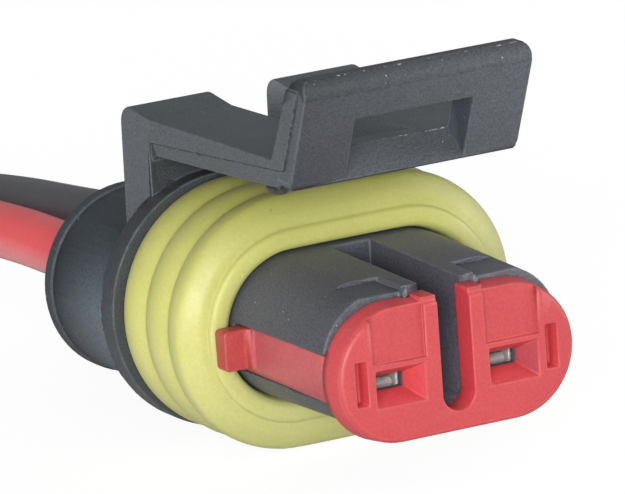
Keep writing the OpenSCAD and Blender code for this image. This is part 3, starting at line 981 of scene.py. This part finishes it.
# %% Spin a section
def spin_section(work, outline, centre_x, centre_z, angle, steps, closed):
    """Spins a closed outline, drawn in the plane above an axis along y, about that axis."""
    corners = [work.verts.new(mm(centre_x, y, centre_z + r)) for r, y in outline]
    edges = [work.edges.new(pair) for pair in zip(corners, corners[1:] + corners[:1])]
    bmesh.ops.spin(
        work, geom=corners + edges, cent=mm(centre_x, 0, centre_z), axis=(0, 1, 0), dvec=(0, 0, 0),
        angle=angle, steps=steps, use_merge=closed, use_duplicate=False,
    )


# %% Interface seal
def make_interface_seal():
    work = bmesh.new()
    spin_section(work, section, 0, CENTRE_Z, math.pi, SEAL_TURN_STEPS, closed=False)
    open_edges = [edge for edge in work.edges if edge.is_boundary]
    towards = 1 if sum(v.co.x for v in work.verts) > 0 else -1
    for vert in work.verts:
        radius = Vector((vert.co.x, vert.co.z - mm(CENTRE_Z))).length
        inner = radius < mm(LIP_R + 0.05)
        vert.co.x += towards * mm(BORE_RUN if inner else OUTER_RUN)
    grown = bmesh.ops.extrude_edge_only(work, edges=open_edges)
    for vert in grown["geom"]:
        if isinstance(vert, bmesh.types.BMVert):
            vert.co.x = 0.0
    bmesh.ops.mirror(
        work, geom=work.verts[:] + work.edges[:] + work.faces[:], merge_dist=mm(0.001), axis="X",
    )
    piece = finish_mesh(work, "ribbed_seal")
    soft = piece.modifiers.new("soft", "SUBSURF")
    soft.levels = soft.render_levels = 1
    return piece


# Painted light and shade on the seal: the sides are painted lighter, the top and bottom darker, the
# valleys a deeper yellow as a painted glow through the silicone, and the right end a little bluer as a
# painted sheen.
SIDE_PAINTED_LIGHT = 1.08
TOP_PAINTED_SHADE, BOTTOM_PAINTED_SHADE = 0.42, 0.22
FACE_T = 0.7
VALLEY_START, VALLEY_FADE = 0.25, 0.3
VALLEY_PAINTED_SHADE, VALLEY_PAINTED_GLOW = 0.02, 0.3
TOP_PAINTED_YELLOW = 0.20
RIGHT_PAINTED_SHEEN, RIGHT_SHEEN_START = 0.08, 4


def paint_seal_light_and_shade(mesh):
    """Paints light and shade: the sides are painted lighter and the top and bottom darker. Valleys and
    top are a deeper yellow, the valleys as a painted glow through the silicone, and the right end is a
    little bluer as a painted sheen."""
    paint = mesh.attributes.new(PAINTED_LIGHT, "FLOAT_COLOR", "POINT")
    values = []
    for vert in mesh.vertices:
        x, y, z = vert.co / MM
        up = (z - CENTRE_Z) / SEAL_R
        radius = math.hypot(max(abs(x) - OUTER_RUN, 0.0), z - CENTRE_Z)
        painted_lightness = SIDE_PAINTED_LIGHT - (TOP_PAINTED_SHADE if up > 0 else BOTTOM_PAINTED_SHADE) * up * up
        sunk = min(max((SEAL_R - VALLEY_START - radius) / VALLEY_FADE, 0.0), 1.0)
        deep = sunk if y > SEAL_FRONT + FACE_T else 0.0
        blue = 1 - TOP_PAINTED_YELLOW * up + RIGHT_PAINTED_SHEEN * max(x - RIGHT_SHEEN_START, 0.0)
        blue *= 1 - VALLEY_PAINTED_GLOW * deep
        values += [painted_lightness, painted_lightness * (1 - VALLEY_PAINTED_SHADE * deep), painted_lightness * blue, 1.0]
    paint.data.foreach_set("color", values)


ribbed_seal = add_piece(
    make_interface_seal(), seal_silicone, "seal_silicone", "plug", "interface_seal"
)
paint_seal_light_and_shade(ribbed_seal.data)
print("interface seal:", len(ribbed_seal.data.polygons), "faces before its subdivision")

# %% [markdown]
# Each lead passes through its own small seal, a round plug of silicone with three ribs that fills
# the bore in the sleeve. It is a true turned shape, so a full spin of its section makes it.

# %% Wire seals
WIRE_SEAL_Y = (15.2, 18.2, 25.4)
WIRE_SEAL_R, WIRE_RIB = 2.1, 0.28
WIRE_RIBS = 3
WIRE_RIB_SWEEP = 38
NECK_T = 0.25
WIRE_SEAL_STEPS = 40


def wire_seal_section():
    valley_r = WIRE_SEAL_R - WIRE_RIB
    start, step_y, end = WIRE_SEAL_Y
    step = (end - step_y) / WIRE_RIBS
    neck = LEAD_D / 2 + NECK_T
    outline = [(LEAD_D / 2, start), (neck - 0.03, start), (neck, start + 0.05), (neck, step_y - 0.03)]
    for k in range(WIRE_RIBS):
        outline += rib_arc(
            step_y + (k + 0.5) * step, step / 2, valley_r, WIRE_RIB,
            -WIRE_RIB_SWEEP, WIRE_RIB_SWEEP, 7,
        )
    return outline + [(LEAD_D / 2, end)]


def make_wire_seal(name, centre_x):
    work = bmesh.new()
    spin_section(
        work, wire_seal_section(), centre_x, 0, 2 * math.pi, WIRE_SEAL_STEPS, closed=True
    )
    return finish_mesh(work, name)


for side, centre_x in (("left", -3), ("right", 3)):
    wire_plug = add_piece(
        make_wire_seal(side + "_wire_plug", centre_x),
        wire_seal_silicone, "wire_seal_silicone", "plug", side + "_wire_seal",
    )
    print(wire_plug.name, len(wire_plug.data.polygons), "faces")

# %% [markdown]
# The conductor is a rope of nineteen fine copper strands: one in the middle, six round it and twelve
# round those, all turning slowly the same way. Each strand is a thin tube along a helix. It shows at
# the stripped end, where the outer strands have begun to spread, and inside the crimped barrel.

# %% Stranded conductors
STRAND_D = STRAND_BUNDLE_D / 5
STRAND_RINGS = ((1, 0.0), (6, STRAND_D), (12, 2 * STRAND_D))
TWIST_PITCH = 16.0
STRAND_STEPS = 12
CRIMPED = (11.0, 14.8)
FRAY = 0.12
UNEVEN_END = 0.25


def strand_paths(start, way, length, spread, chance):
    """Helical paths of one bundle from a point, in mm. The spread opens its free end."""
    way = Vector(way).normalized()
    across = way.cross(Vector((0, 0, 1))).normalized()
    up = across.cross(way)
    paths = []
    for count, ring_r in STRAND_RINGS:
        for k in range(count):
            reach = length - chance.uniform(0.0, UNEVEN_END)
            path = []
            for step in range(STRAND_STEPS + 1):
                share = step / STRAND_STEPS
                turn = 2 * math.pi * (k / count + share * reach / TWIST_PITCH)
                wide = ring_r * (1 + spread * share * share)
                aside = across * math.cos(turn) * wide + up * math.sin(turn) * wide
                path.append(Vector(start) + way * reach * share + aside)
            paths.append(path)
    return paths


def make_strands(name, route, centre_x, seed):
    """The bundle at the stripped end of a lead, and the one in its crimped barrel."""
    chance = random.Random(seed)
    way = Vector(route[-1]) - Vector(route[-2])
    paths = strand_paths(route[-1], way, STRIPPED, FRAY, chance)
    paths += strand_paths(
        (centre_x, CRIMPED[0], 0), (0, 1, 0), CRIMPED[1] - CRIMPED[0], 0.0, chance
    )
    return as_mesh(tube_along(name, paths, STRAND_D, smooth=False, sides=8))


red_conductor = add_piece(
    make_strands("red_conductor", RED_ROUTE, -3, 3), copper, "copper_strands", "plug", "red_strands"
)
black_conductor = add_piece(
    make_strands("black_conductor", BLACK_ROUTE, 3, 4), copper, "copper_strands", "plug",
    "black_strands",
)
print("strands in a bundle:", sum(count for count, _ in STRAND_RINGS), "of", round(STRAND_D, 2), "mm")

# %% [markdown]
# Each lead gets its insulation finish, rides with the plug and takes the place of its solid lead.

for lead, node, route, material, slot, conductor in (
    (red_insulation, "red_lead", RED_ROUTE, red_pvc, "red_insulation", red_conductor),
    (black_insulation, "black_lead", BLACK_ROUTE, black_pvc, "black_insulation", black_conductor),
):
    add_piece(lead, material, slot, "plug", node)

# %% [markdown]
# The plug lies on a sheet of white paper. A large soft lamp stands beside the camera, so the mating
# face and the left side are the lightest and the top stays calmer, and a pale world fills the rest.
# The paper shows white to the camera and still takes the plug's shadow: most of what the camera
# sees is the paper's own even white, and the rest is paper lit by the lamps. Rays that bounce off
# the plug meet plain lit paper and a dimmer world, so the dark plastics stay dark.

# %% Paper floor
PAPER = (0.86, 0.86, 0.86, 1.0)
PAPER_SIZE = 3.0
PAPER_GLOW = 0.80
PAPER_WHITE = 1.14


def seen_directly(tree):
    """1 for rays that show the surface to the camera, straight or through glass."""
    path = add_node(tree, "ShaderNodeLightPath")
    return maths(
        tree, "MAXIMUM", path.outputs["Is Camera Ray"], path.outputs["Is Transmission Ray"]
    )


def make_floor():
    """A large sheet on which the plug lies."""
    work = bmesh.new()
    bmesh.ops.create_grid(work, x_segments=1, y_segments=1, size=PAPER_SIZE)
    bmesh.ops.translate(work, verts=work.verts, vec=(0, 0, floor_z))
    floor = finish_mesh(work, "floor")
    material = bpy.data.materials.new("paper")
    material.use_nodes = True
    tree = material.node_tree
    shader = tree.nodes["Principled BSDF"]
    shader.inputs["Base Color"].default_value = PAPER
    shader.inputs["Roughness"].default_value = 0.9
    white = add_node(tree, "ShaderNodeEmission")
    white.inputs["Strength"].default_value = PAPER_WHITE
    mixed = add_node(tree, "ShaderNodeMixShader")
    tree.links.new(maths(tree, "MULTIPLY", seen_directly(tree), PAPER_GLOW), mixed.inputs["Fac"])
    tree.links.new(shader.outputs["BSDF"], mixed.inputs[1])
    tree.links.new(white.outputs["Emission"], mixed.inputs[2])
    tree.links.new(mixed.outputs["Shader"], tree.nodes["Material Output"].inputs["Surface"])
    floor.data.materials.append(material)


make_floor()

# %% [markdown]
# Two big soft lamps, a small one and an even world light the plug. The key lamp is low on the left,
# where it lights the side faces more than the tops. The small lamp stands beside the camera: it
# reaches into the blade entries and makes the metal glint. The fill opens the shadows on the right.

# %% Lamps and world
LIGHT_AIM = mm(0, 10, 2)
LAMP_DISTANCE = 0.5
LAMPS = (
    # name, azimuth, elevation, size in m, power in W
    ("key", -38, 7, 0.32, 2.6),
    ("front", -27, 13, 0.08, 0.42),
    ("fill", 60, 16, 0.32, 1.0),
)
WORLD_LIGHT = 0.29


def make_lamp(name, azimuth, elevation, size, power):
    """A square lamp that faces the plug."""
    data = bpy.data.lights.new(name, "AREA")
    data.size = size
    data.energy = power
    lamp = link_piece(name, data)
    way = from_side(azimuth, elevation)
    lamp.location = LIGHT_AIM + way * LAMP_DISTANCE
    lamp.rotation_euler = way.to_track_quat("Z", "Y").to_euler()


def make_world():
    """An even world that is white to the camera and dimmer as a light."""
    world = bpy.data.worlds.new("studio")
    world.use_nodes = True
    tree = world.node_tree
    background = tree.nodes["Background"]
    background.inputs["Color"].default_value = (1, 1, 1, 1)
    strength = remap(tree, seen_directly(tree), 0.0, 1.0, WORLD_LIGHT, 1.0)
    tree.links.new(strength, background.inputs["Strength"])
    bpy.context.scene.world = world


for lamp in LAMPS:
    make_lamp(*lamp)
make_world()
bpy.context.scene.view_settings.view_transform = "Standard"
print("lamps:", ", ".join(lamp[0] for lamp in LAMPS))
